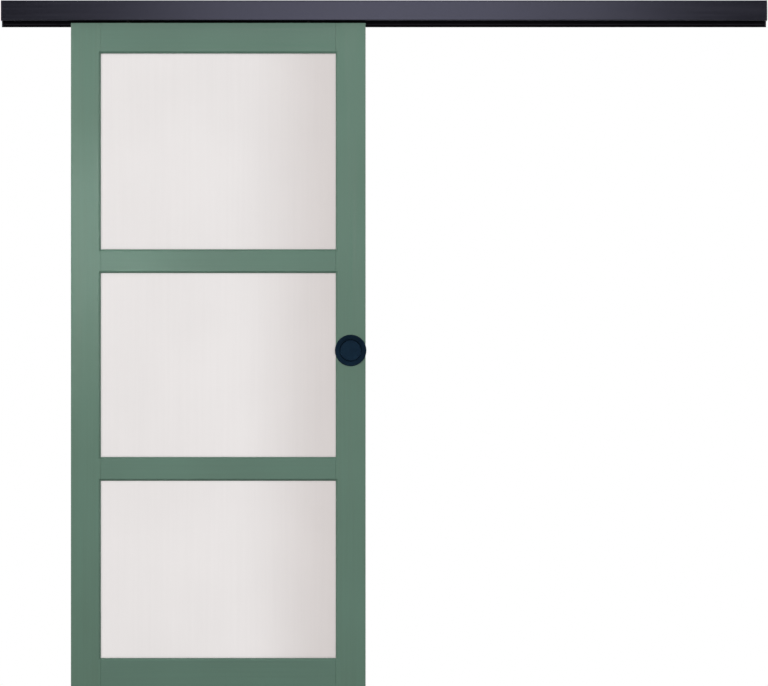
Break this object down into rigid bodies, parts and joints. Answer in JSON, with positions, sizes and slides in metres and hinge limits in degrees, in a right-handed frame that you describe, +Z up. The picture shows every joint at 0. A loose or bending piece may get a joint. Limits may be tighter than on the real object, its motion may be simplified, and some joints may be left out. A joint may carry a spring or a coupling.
{
  "type": "glazed sliding door",
  "caption": "Sage-green sliding door leaf with frosted panes and a round cup pull, hung on wheels from a dark wall rail with a fascia.",
  "frame": {"origin": "on the wall plane, midway along the rail, on its line of fixing holes", "axes": "+X along the rail, the way the leaf slides open; +Y into the wall; +Z up; the front faces -Y"},
  "size_m": [2.286, 0.078, 2.1095],
  "materials": {
    "leaf_paint": "satin sage-green paint on wood",
    "beech": "fluted hardwood, glued",
    "frosted_glass": "frosted, pale grey",
    "seal_rubber": "soft, matt",
    "pull_black": "satin blue-black",
    "rail_anodised": "dark anodised, brushed along its length",
    "track_black": "black anodised, matt",
    "black_steel": "black zinc plated",
    "cap_plastic": "moulded, fine grain",
    "buffer_rubber": "moulded, matt",
    "zinc_steel": "zinc plated",
    "carriage_zinc": "die cast, as cast",
    "wheel_nylon": "moulded, smooth",
    "guide_nylon": "moulded, smooth"
  },
  "bodies": {
    "rail": {"wall_angle": "track_black", "track_channel": "track_black", "track_screws": "zinc_steel", "fascia": "rail_anodised", "end_cap_left": "cap_plastic", "end_cap_right": "cap_plastic", "stop_left": "cap_plastic", "stop_right": "cap_plastic", "buffer_left": "buffer_rubber", "buffer_right": "buffer_rubber", "stop_screws": "zinc_steel", "floor_guide": "guide_nylon"},
    "leaf": {"stile_left": "leaf_paint", "stile_right": "leaf_paint", "top_rail": "leaf_paint", "mid_rail_upper": "leaf_paint", "mid_rail_lower": "leaf_paint", "bottom_rail": "leaf_paint", "bead_upper_bottom": "leaf_paint", "bead_upper_right": "leaf_paint", "bead_upper_top": "leaf_paint", "bead_upper_left": "leaf_paint", "bead_middle_bottom": "leaf_paint", "bead_middle_right": "leaf_paint", "bead_middle_top": "leaf_paint", "bead_middle_left": "leaf_paint", "bead_lower_bottom": "leaf_paint", "bead_lower_right": "leaf_paint", "bead_lower_top": "leaf_paint", "bead_lower_left": "leaf_paint", "dowels": "beech", "pane_upper": "frosted_glass", "pane_middle": "frosted_glass", "pane_lower": "frosted_glass", "seal_upper": "seal_rubber", "seal_middle": "seal_rubber", "seal_lower": "seal_rubber", "pull_front": "pull_black", "pull_back": "pull_black", "hanger_bolt_left": "black_steel", "jam_nut_left": "black_steel", "hanger_bolt_right": "black_steel", "jam_nut_right": "black_steel", "plate_screws": "zinc_steel", "hanger_plate_left": "zinc_steel", "axles_left": "zinc_steel", "hanger_plate_right": "zinc_steel", "axles_right": "zinc_steel", "carriage_left": "carriage_zinc", "carriage_right": "carriage_zinc"},
    "wheel_left_outer_front": {"wheel_left_outer_front": "wheel_nylon"},
    "wheel_left_outer_back": {"wheel_left_outer_back": "wheel_nylon"},
    "wheel_left_inner_front": {"wheel_left_inner_front": "wheel_nylon"},
    "wheel_left_inner_back": {"wheel_left_inner_back": "wheel_nylon"},
    "wheel_right_outer_front": {"wheel_right_outer_front": "wheel_nylon"},
    "wheel_right_outer_back": {"wheel_right_outer_back": "wheel_nylon"},
    "wheel_right_inner_front": {"wheel_right_inner_front": "wheel_nylon"},
    "wheel_right_inner_back": {"wheel_right_inner_back": "wheel_nylon"}
  },
  "joints": [
    {"name": "leaf_slide", "type": "slide", "parent": "rail", "child": "leaf", "axis": [1, 0, 0], "range_m": [0, 0.8]},
    {"name": "wheel_left_outer_front_turn", "type": "hinge", "parent": "leaf", "child": "wheel_left_outer_front", "pos_m": [-0.791, -0.033, 0.02775], "axis": [0, 1, 0], "continuous": true},
    {"name": "wheel_left_outer_back_turn", "type": "hinge", "parent": "leaf", "child": "wheel_left_outer_back", "pos_m": [-0.791, -0.033, 0.02775], "axis": [0, 1, 0], "continuous": true},
    {"name": "wheel_left_inner_front_turn", "type": "hinge", "parent": "leaf", "child": "wheel_left_inner_front", "pos_m": [-0.739, -0.033, 0.02775], "axis": [0, 1, 0], "continuous": true},
    {"name": "wheel_left_inner_back_turn", "type": "hinge", "parent": "leaf", "child": "wheel_left_inner_back", "pos_m": [-0.739, -0.033, 0.02775], "axis": [0, 1, 0], "continuous": true},
    {"name": "wheel_right_outer_front_turn", "type": "hinge", "parent": "leaf", "child": "wheel_right_outer_front", "pos_m": [-0.199, -0.033, 0.02775], "axis": [0, 1, 0], "continuous": true},
    {"name": "wheel_right_outer_back_turn", "type": "hinge", "parent": "leaf", "child": "wheel_right_outer_back", "pos_m": [-0.199, -0.033, 0.02775], "axis": [0, 1, 0], "continuous": true},
    {"name": "wheel_right_inner_front_turn", "type": "hinge", "parent": "leaf", "child": "wheel_right_inner_front", "pos_m": [-0.251, -0.033, 0.02775], "axis": [0, 1, 0], "continuous": true},
    {"name": "wheel_right_inner_back_turn", "type": "hinge", "parent": "leaf", "child": "wheel_right_inner_back", "pos_m": [-0.251, -0.033, 0.02775], "axis": [0, 1, 0], "continuous": true}
  ],
  "couplings": [
    {"joint": "wheel_left_outer_front_turn", "follows": "leaf_slide", "rad_per_m": 100},
    {"joint": "wheel_left_outer_back_turn", "follows": "leaf_slide", "rad_per_m": 100},
    {"joint": "wheel_left_inner_front_turn", "follows": "leaf_slide", "rad_per_m": 100},
    {"joint": "wheel_left_inner_back_turn", "follows": "leaf_slide", "rad_per_m": 100},
    {"joint": "wheel_right_outer_front_turn", "follows": "leaf_slide", "rad_per_m": 100},
    {"joint": "wheel_right_outer_back_turn", "follows": "leaf_slide", "rad_per_m": 100},
    {"joint": "wheel_right_inner_front_turn", "follows": "leaf_slide", "rad_per_m": 100},
    {"joint": "wheel_right_inner_back_turn", "follows": "leaf_slide", "rad_per_m": 100}
  ]
}
